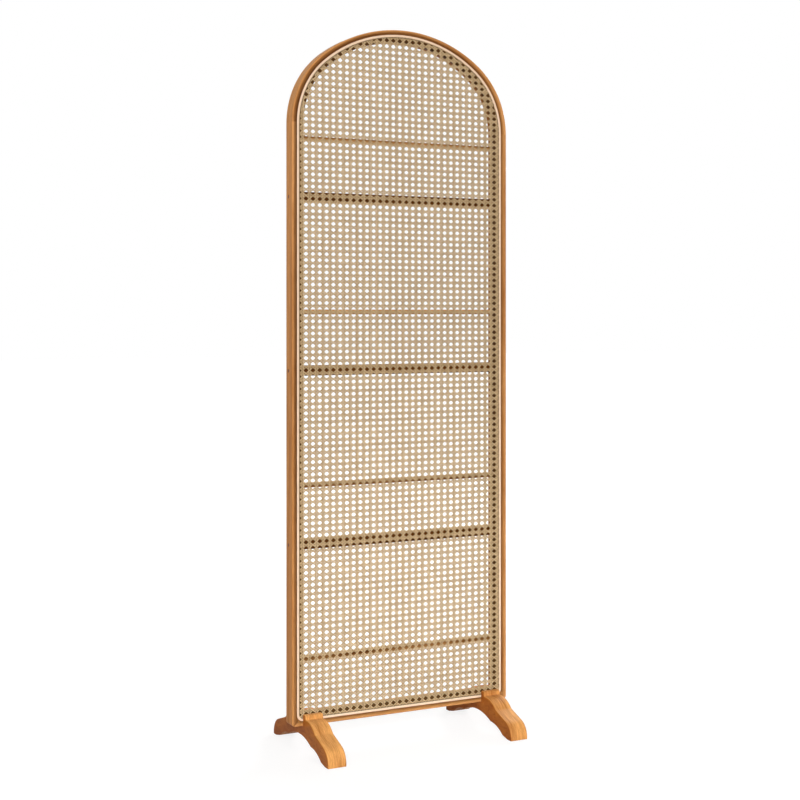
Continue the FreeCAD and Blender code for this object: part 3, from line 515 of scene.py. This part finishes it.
class CaneEdge:
    """Edge of the webbing: straight sides, rounded lower corners and an arch of three arcs."""

    def __init__(self, haunch, corner, tuck):
        self.reach = CANE_HIGH.x + tuck
        self.low = CANE_LOW.z - tuck
        self.corner = corner + tuck
        self.haunch = haunch - FRAME_HIGH.x + self.reach
        self.out = self.reach - self.haunch
        rise = CANE_HIGH.z + tuck - SPRING
        self.crown = crown_radius(self.out, rise, self.haunch)
        self.crown_z = SPRING + rise - self.crown
        self.turn = math.atan2(SPRING - self.crown_z, self.out)

    def outward(self, x, z):
        """From the edge's own centre or line to the point: how far past the edge, and which way."""
        side = math.copysign(1.0, x)
        past_corner = abs(x) - self.reach + self.corner
        above = z - SPRING
        across = abs(x) - self.out
        if z < self.low + self.corner and past_corner > 0:
            arm, radius = Vector((side * past_corner, z - self.low - self.corner)), self.corner
        elif above <= 0 and abs(x) - self.reach > self.low - z:
            arm, radius = Vector((side * abs(x), 0.0)), self.reach
        elif above <= 0:
            arm, radius = Vector((0.0, -1.0)) * (self.low + 1.0 - z), 1.0
        elif across * math.sin(self.turn) > above * math.cos(self.turn):
            arm, radius = Vector((side * across, above)), self.haunch
        else:
            arm, radius = Vector((x, z - self.crown_z)), self.crown
        return arm.length - radius, arm.normalized()

    def meet(self, inner, outer):
        """The point between an inner and an outer one that lies on the edge."""
        for _ in range(SEARCH_HALVINGS):
            middle = (inner + outer) / 2
            if self.outward(*middle)[0] < 0:
                inner = middle
            else:
                outer = middle
        return inner

    def span(self, start, way, far):
        """Where a straight strand enters and leaves the webbing, or nothing if it misses it."""
        step = way * SEARCH_STEP
        points = [start + way * (SEARCH_STEP * index) for index in range(int(far / SEARCH_STEP) + 1)]
        inside = [index for index, point in enumerate(points) if self.outward(*point)[0] < 0]
        if len(inside) < 2:
            return None
        first, last = inside[0], inside[-1]
        return (self.meet(points[first], points[first] - step),
                self.meet(points[last], points[last] + step))


def strand_pattern(width, thick, knots, period, cells):
    """One long strand along +Z, extruded knot by knot from a flat six-sided section with a low ridge."""
    pattern = bmesh.new()
    rim = pattern.verts.layers.float.new("rim")
    ring = bmesh.ops.create_circle(pattern, segments=SECTION_SIDES, radius=1.0)["verts"]
    across = width / 2 / math.cos(math.pi / SECTION_SIDES)
    bmesh.ops.scale(pattern, verts=ring, vec=(across, thick / 2, 1.0))
    # rim runs from nothing at the ridge to one at the sides, for the painted shade along the strands'
    # edges
    for vert in ring:
        vert[rim] = abs(vert.co.x) * 2 / width
    bmesh.ops.translate(pattern, verts=ring, vec=(0.0, -knots[0][1], knots[0][0]))
    edges = pattern.edges[:]
    here = knots[0]
    path = [(along + period * cell, height) for cell in range(cells) for along, height in knots]
    for along, height in path[1:]:
        made = bmesh.ops.extrude_edge_only(pattern, edges=edges)["geom"]
        verts = [item for item in made if isinstance(item, bmesh.types.BMVert)]
        ends = set(verts)
        edges = [item for item in made
                 if isinstance(item, bmesh.types.BMEdge) and ends.issuperset(item.verts)]
        bmesh.ops.translate(pattern, verts=verts, vec=(0.0, here[1] - height, along - here[0]))
        here = (along, height)
    return pattern


class CaneLayer:
    """Like strands that run one way, gathered into one piece."""

    def __init__(self, edge, wander, chance):
        self.edge = edge
        self.wander = wander
        self.chance = chance
        self.strands = bmesh.new()
        self.scratch = bpy.data.meshes.new("strand")

    def lay(self, pattern, start, way, far):
        """Copy a strand to its line, cut it along the edge of the webbing and close its ends."""
        ends = self.edge.span(start, way, far)
        off = self.chance.uniform(-self.wander, self.wander)
        tone = self.chance.random()
        if ends is None:
            return
        strand = pattern.copy()
        aside = Vector((way.y, -way.x)) * off
        middle = (CANE_BACK + CANE_LOW.y) / 2
        turn = Matrix.Rotation(math.atan2(way.x, way.y), 4, "Y")
        move = Matrix.Translation((start.x + aside.x, middle, start.y + aside.y))
        bmesh.ops.transform(strand, matrix=move @ turn, verts=strand.verts)
        for point in ends:
            normal = self.edge.outward(*point)[1]
            geometry = strand.verts[:] + strand.edges[:] + strand.faces[:]
            bmesh.ops.bisect_plane(strand, geom=geometry, plane_co=(point.x, middle, point.y),
                                   plane_no=(normal.x, 0.0, normal.y), clear_outer=True)
        bmesh.ops.holes_fill(strand, edges=[edge for edge in strand.edges if edge.is_boundary])
        shade = strand.verts.layers.float.new("tone")
        for vert in strand.verts:
            vert[shade] = tone
        strand.to_mesh(self.scratch)
        self.strands.from_mesh(self.scratch)
        strand.free()

    def finish(self, name, material, *nodes):
        for face in self.strands.faces:
            face.smooth = True
        bpy.data.meshes.remove(self.scratch)
        return add_piece(name, self.strands, material, "cane", *nodes)


def add_piece(name, shape, material, slot, *nodes):
    """Make a bmesh a piece of the divider that stands for nodes of the frame."""
    bmesh.ops.recalc_face_normals(shape, faces=shape.faces)
    mesh = bpy.data.meshes.new(name)
    shape.to_mesh(mesh)
    shape.free()
    mesh.materials.append(material)
    piece = bpy.data.objects.new(name, mesh)
    bpy.context.scene.collection.objects.link(piece)
    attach(piece, BODY)
    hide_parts(*nodes)
    return piece


def lattice(cane):
    """First lattice point left of and below the webbing, and how many cells reach past the other side."""
    columns = math.ceil((CANE_HIGH.x + cane.shift) / cane.across) + 1
    left = cane.shift - columns * cane.across
    low = CANE_LOW.z + cane.lift - cane.up
    wide = math.ceil((CANE_HIGH.x - left) / cane.across) + 1
    tall = math.ceil((CANE_HIGH.z - low) / cane.up) + 1
    return Vector((left, low)), wide, tall


def weave_straight(cane, edge, chance, upright, finish):
    """Pairs of upright or level strands; the two of a pair go over and under in turn."""
    start, wide, tall = lattice(cane)
    rows, cells = (wide, tall) if upright else (tall, wide)
    period, step = (cane.up, cane.across) if upright else (cane.across, cane.up)
    width = cane.upright_width if upright else cane.level_width
    apart = cane.upright_apart if upright else cane.level_apart
    crossed = cane.level_apart if upright else cane.upright_apart
    way = Vector((0, 1)) if upright else Vector((1, 0))
    aside = Vector((1, 0)) if upright else Vector((0, 1))
    kind, node = ("upright", "cane_uprights") if upright else ("level", "cane_levels")
    names = ("left", "right") if upright else ("lower", "upper")
    lift = cane.thickness * PAIR_LIFT * (1 if upright else -1)
    bend = crossed * PAIR_BEND
    for name, side in zip(names, (-1, 1)):
        first = lift * side
        knots = [(-crossed / 2, first), (crossed / 2, -first), (bend, 0.0), (period - bend, 0.0)]
        pattern = strand_pattern(width, cane.thickness, knots, period, cells)
        layer = CaneLayer(edge, cane.wander, chance)
        for row in range(rows):
            layer.lay(pattern, start + aside * (row * step + side * apart / 2), way, period * cells)
        pattern.free()
        layer.finish("cane_%s_%s_strands" % (kind, name), finish, node)


def weave_diagonal(cane, edge, chance, rising, finish):
    """Single strands that pass over one kind of pair and under the other."""
    start, wide, tall = lattice(cane)
    slant = Vector((cane.across, cane.up if rising else -cane.up))
    period = slant.length
    height = cane.thickness * DIAGONAL_LIFT * (1 if rising else -1)
    over = cane.upright_apart * OVER_UPRIGHTS
    under = cane.level_apart * UNDER_LEVELS
    knots = [(-over, height), (over, height),
             (period / 2 - under, -height), (period / 2 + under, -height)]
    pattern = strand_pattern(cane.diagonal_width, cane.thickness, knots, period, wide)
    layer = CaneLayer(edge, cane.wander, chance)
    for row in range(-wide, tall) if rising else range(0, tall + wide):
        origin = start + Vector((0.0, (row + 0.5) * cane.up))
        layer.lay(pattern, origin, slant.normalized(), period * wide)
    pattern.free()
    kind = "rising" if rising else "falling"
    layer.finish("cane_%s_strands" % kind, finish, "cane_%s_diagonals" % kind)


class DIVIDER_OT_cane(bpy.types.Operator):
    """Weave the cane: upright and level pairs with two sets of diagonals through them"""
    bl_idname = "divider.cane"
    bl_label = "Weave Cane"

    def execute(self, context):
        cane = context.scene.divider_cane
        tones = context.scene.divider_finish
        edge = CaneEdge(cane.haunch, cane.corner, cane.tuck)
        chance = random.Random(cane.seed)
        slant = math.atan2(cane.across, cane.up)

        def finish(name, turn):
            return cane_finish(name, tones.cane_light[:], tones.cane_dark[:], turn, cane.haunch)

        weave_straight(cane, edge, chance, True, finish("upright_cane", 0.0))
        weave_straight(cane, edge, chance, False, finish("level_cane", math.pi / 2))
        weave_diagonal(cane, edge, chance, True, finish("rising_cane", -slant))
        weave_diagonal(cane, edge, chance, False, finish("falling_cane", slant))
        return {"FINISHED"}


class DIVIDER_OT_cane_edge(bpy.types.Operator):
    """Finish the turned-down edge of the cane and the reed that locks it in its groove"""
    bl_idname = "divider.cane_edge"
    bl_label = "Finish Cane Edge and Reed"

    def execute(self, context):
        tones = context.scene.divider_finish
        haunch = context.scene.divider_cane.haunch
        coat(reed_finish("cane_hem", tones.cane_dark[:], haunch), "cane_hem")
        coat(reed_finish("reed_spline", tones.reed[:], haunch), "locking_spline")
        return {"FINISHED"}


class DIVIDER_OT_frame(bpy.types.Operator):
    """Finish the stiles, the bent head and the bottom rail"""
    bl_idname = "divider.frame"
    bl_label = "Finish Frame"

    def execute(self, context):
        tones = context.scene.divider_finish
        haunch = context.scene.divider_cane.haunch

        # Painted shade on the lip's inner slope, at its foot and on the seat behind the cane
        def painted_shade(finish):
            return seat_painted_shade(finish, haunch, tones.lip_painted_shade, tones.lip_foot_painted_shade, tones.seat_painted_shade)

        def lip(finish):
            slope_lip(finish, haunch, tones.lip_slope)

        def frame_wood(name, grain):
            return wood(name, tones.frame_light[:], tones.frame_dark[:], grain, painted_shade=painted_shade, lip=lip)

        coat(frame_wood("stile_wood", straight(ALONG_Z)), "left_stile", "right_stile")
        coat(frame_wood("bent_wood", bent(haunch)), "arch_rail")
        coat(frame_wood("sill_wood", straight(ALONG_X)), "bottom_rail")
        return {"FINISHED"}


class DIVIDER_OT_rails(bpy.types.Operator):
    """Finish the cross rails and thin slats behind the cane"""
    bl_idname = "divider.rails"
    bl_label = "Finish Rails and Slats"

    def execute(self, context):
        tones = context.scene.divider_finish
        grain = straight(ALONG_X)
        # The rails' dark colours are painted shade, for the shade behind the cane
        coat(wood("rail_wood", tones.shaded_rail_light[:], tones.shaded_rail_dark[:], grain),
             "lower_cross_rail", "middle_cross_rail", "upper_cross_rail")
        coat(wood("slat_wood", tones.slat_light[:], tones.slat_dark[:], grain),
             "middle_slat", "upper_slat")
        coat(wood("shaded_slat_wood", tones.slat_dark[:], tones.shaded_rail_light[:], grain),
             "bottom_slat", "lower_slat")
        return {"FINISHED"}


class DIVIDER_OT_feet(bpy.types.Operator):
    """Finish the two bracket feet"""
    bl_idname = "divider.feet"
    bl_label = "Finish Feet"

    def execute(self, context):
        tones = context.scene.divider_finish

        # Painted shade on the faces of the feet that look left and right
        def painted_shade(finish):
            return side_painted_shade(finish, tones.foot_side_painted_shade[:])

        coat(wood("foot_wood", tones.foot_light[:], tones.foot_dark[:], straight(DOWN_SLOPE), painted_shade=painted_shade),
             "left_foot", "right_foot")
        return {"FINISHED"}


# Felt pads: points that are one, the corners that are rounded, and by how much
SAME_POINT = 0.00001
FLAT_ANGLE = math.radians(1)
RIM_ANGLE = math.radians(60)
FELT_ROUND = 0.0008


class DIVIDER_OT_felt(bpy.types.Operator):
    """Make soft felt pads where the feet meet the floor"""
    bl_idname = "divider.felt"
    bl_label = "Make Felt Pads"

    def execute(self, context):
        shape = bmesh.new()
        shape.from_mesh(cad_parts["foot_pads"].data)
        bmesh.ops.remove_doubles(shape, verts=shape.verts, dist=SAME_POINT)
        bmesh.ops.dissolve_limit(shape, angle_limit=FLAT_ANGLE, verts=shape.verts, edges=shape.edges)
        rims = [edge for edge in shape.edges if edge.calc_face_angle(0.0) > RIM_ANGLE]
        bmesh.ops.bevel(shape, geom=rims, offset=FELT_ROUND, offset_type="OFFSET", segments=3, profile=0.5,
                        affect="EDGES", material=-1)
        for face in shape.faces:
            face.smooth = True
        finish = felt_finish("felt", context.scene.divider_finish.felt[:])
        add_piece("felt_pads", shape, finish, "felt", "foot_pads")
        return {"FINISHED"}


class DIVIDER_OT_fasteners(bpy.types.Operator):
    """Finish dowels, screws, plugs, bolts, washers and inserts"""
    bl_idname = "divider.fasteners"
    bl_label = "Finish Fasteners"

    def execute(self, context):
        tones = context.scene.divider_finish
        coat(metal_finish("zinc_steel", tones.steel[:], roughness=0.36),
             "rail_screws", "foot_bolts", "foot_washers")
        coat(metal_finish("turned_brass", tones.brass[:], roughness=0.3), "foot_inserts")
        coat(end_grain("plug_wood", tones.plug[:]), "screw_plugs")
        beech = (tones.dowel[:], toned(tones.dowel[:], 0.8))
        coat(wood("upright_dowel", *beech, straight(ALONG_Z), roughness=0.6), "arch_dowels")
        coat(wood("level_dowel", *beech, straight(ALONG_X), roughness=0.6), "corner_dowels")
        return {"FINISHED"}


# Stage

PANEL_MIDDLE = (0.0, 0.0, 0.9)
BETWEEN_FEET = (0.05, 0.0, 0.05)
WARM_WHITE = (1.0, 0.95, 0.88, 1.0)
FLOOR_REACH = 30.0
FLOOR_GAP = 0.0002
# The floor's own glow near the divider and its rise away from it, and the share that shadow takes away
GLOW_NEAR = 0.84
GLOW_RISE = 0.18
GLOW_START = 0.4
GLOW_END = 1.6
SHADOW_SHARE = 0.22


def seen(tree):
    """One for rays that show the background: from the camera, off gloss or through glass."""
    path = tree.nodes.new("ShaderNodeLightPath")
    total = path.outputs["Is Camera Ray"]
    for name in ("Is Glossy Ray", "Is Transmission Ray"):
        node = tree.nodes.new("ShaderNodeMath")
        node.operation = "MAXIMUM"
        tree.links.new(total, node.inputs[0])
        tree.links.new(path.outputs[name], node.inputs[1])
        total = node.outputs["Value"]
    return total


def light_world(scene, fill):
    """A warm fill from all round, behind a background that shows white."""
    world = bpy.data.worlds.new("studio")
    world.use_nodes = True
    tree = world.node_tree
    glow = tree.nodes["Background"]
    glow.inputs["Color"].default_value = WARM_WHITE
    glow.inputs["Strength"].default_value = fill
    white = tree.nodes.new("ShaderNodeBackground")
    white.inputs["Color"].default_value = WHITE
    mixed = tree.nodes.new("ShaderNodeMixShader")
    tree.links.new(seen(tree), mixed.inputs["Fac"])
    tree.links.new(glow.outputs[0], mixed.inputs[1])
    tree.links.new(white.outputs[0], mixed.inputs[2])
    tree.links.new(mixed.outputs[0], tree.nodes["World Output"].inputs["Surface"])
    scene.world = world


def floor_finish(shade):
    """White round a soft shadow where it is seen, its own colour where it lights, clear from below."""
    finish = Finish("pale_floor")
    finish.set(Base_Color=shade, Roughness=0.9, Specular_IOR_Level=0.0)
    links = finish.tree.links
    x, y, _ = finish.parts(finish.place())
    far = finish.span(finish.arm(x, y), GLOW_START, GLOW_END)
    glow = finish.node("Emission")
    finish.feed(glow.inputs["Strength"], finish.maths("MULTIPLY_ADD", far, GLOW_RISE, GLOW_NEAR))
    soft = finish.node("BsdfDiffuse")
    soft.inputs["Color"].default_value = grey(SHADOW_SHARE)
    lit = finish.node("AddShader")
    links.new(glow.outputs[0], lit.inputs[0])
    links.new(soft.outputs[0], lit.inputs[1])
    shown = finish.node("MixShader")
    links.new(seen(finish.tree), shown.inputs["Fac"])
    links.new(finish.shader.outputs[0], shown.inputs[1])
    links.new(lit.outputs[0], shown.inputs[2])
    above = finish.node("MixShader")
    links.new(finish.node("NewGeometry").outputs["Backfacing"], above.inputs["Fac"])
    links.new(shown.outputs[0], above.inputs[1])
    links.new(finish.node("BsdfTransparent").outputs[0], above.inputs[2])
    links.new(above.outputs[0], finish.tree.nodes["Material Output"].inputs["Surface"])
    return finish.material


def lay_floor(scene, shade):
    shape = bmesh.new()
    bmesh.ops.create_grid(shape, x_segments=1, y_segments=1, size=FLOOR_REACH)
    bmesh.ops.translate(shape, verts=shape.verts, vec=(0.0, 0.0, CAD_BOX[0].z - FLOOR_GAP))
    mesh = bpy.data.meshes.new("floor")
    shape.to_mesh(mesh)
    shape.free()
    mesh.materials.append(floor_finish(shade))
    floor = bpy.data.objects.new("floor", mesh)
    scene.collection.objects.link(floor)


def hang_light(scene, name, energy, place, target, size, spread=math.pi):
    """A round lamp that points at its target and doesn't show itself."""
    light = bpy.data.lights.new(name, "AREA")
    light.shape = "DISK"
    light.size = size
    light.energy = energy
    light.spread = spread
    lamp = bpy.data.objects.new(name, light)
    lamp.visible_camera = False
    lamp.location = place
    lamp.rotation_euler = (Vector(target) - Vector(place)).to_track_quat("-Z", "Y").to_euler()
    scene.collection.objects.link(lamp)


def set_camera(scene, stage):
    camera = bpy.data.cameras.new("camera")
    camera.lens = stage.lens
    camera.shift_y = stage.shift
    viewer = bpy.data.objects.new("camera", camera)
    viewer.location = stage.eye
    viewer.rotation_euler = (math.radians(90), 0.0, stage.turn)
    scene.collection.objects.link(viewer)
    scene.camera = viewer


class DIVIDER_OT_stage(bpy.types.Operator):
    """Set the floor, the soft lights and the camera"""
    bl_idname = "divider.stage"
    bl_label = "Set Stage"

    def execute(self, context):
        scene = context.scene
        stage = scene.divider_stage
        scene.view_settings.view_transform = "Standard"
        lay_floor(scene, stage.floor[:])
        light_world(scene, stage.fill)
        hang_light(scene, "key_light", stage.key, place=(-3.2, -6.0, 2.7), target=PANEL_MIDDLE, size=2.0)
        hang_light(scene, "low_light", stage.low, place=(0.0, -2.4, 1.1), target=BETWEEN_FEET, size=0.4,
                   spread=math.radians(42))
        hang_light(scene, "back_light", stage.back, place=(4.6, 3.4, 3.0), target=PANEL_MIDDLE, size=2.0)
        set_camera(scene, stage)
        return {"FINISHED"}


class DIVIDER_PT_panel(bpy.types.Panel):
    """Makers of the divider's pieces, in order"""
    bl_label = "Cane Room Divider"
    bl_idname = "DIVIDER_PT_panel"
    bl_space_type = "VIEW_3D"
    bl_region_type = "UI"
    bl_category = "Divider"

    def draw(self, context):
        for maker in MAKERS:
            self.layout.operator(maker.bl_idname)


SETTINGS = {
    "divider_cane": CaneSettings,
    "divider_finish": FinishSettings,
    "divider_stage": StageSettings,
}
MAKERS = (DIVIDER_OT_frame, DIVIDER_OT_rails, DIVIDER_OT_cane, DIVIDER_OT_cane_edge, DIVIDER_OT_feet,
          DIVIDER_OT_felt, DIVIDER_OT_fasteners, DIVIDER_OT_stage)


def register():
    for settings in SETTINGS.values():
        bpy.utils.register_class(settings)
    for name, settings in SETTINGS.items():
        setattr(bpy.types.Scene, name, PointerProperty(type=settings))
    for maker in MAKERS:
        bpy.utils.register_class(maker)
    bpy.utils.register_class(DIVIDER_PT_panel)


def unregister():
    bpy.utils.unregister_class(DIVIDER_PT_panel)
    for maker in reversed(MAKERS):
        bpy.utils.unregister_class(maker)
    for name, settings in SETTINGS.items():
        delattr(bpy.types.Scene, name)
        bpy.utils.unregister_class(settings)


def main():
    register()
    bpy.ops.divider.frame()
    bpy.ops.divider.rails()
    bpy.ops.divider.cane()
    bpy.ops.divider.cane_edge()
    bpy.ops.divider.feet()
    bpy.ops.divider.felt()
    bpy.ops.divider.fasteners()
    bpy.ops.divider.stage()


if __name__ == "__main__":
    main()
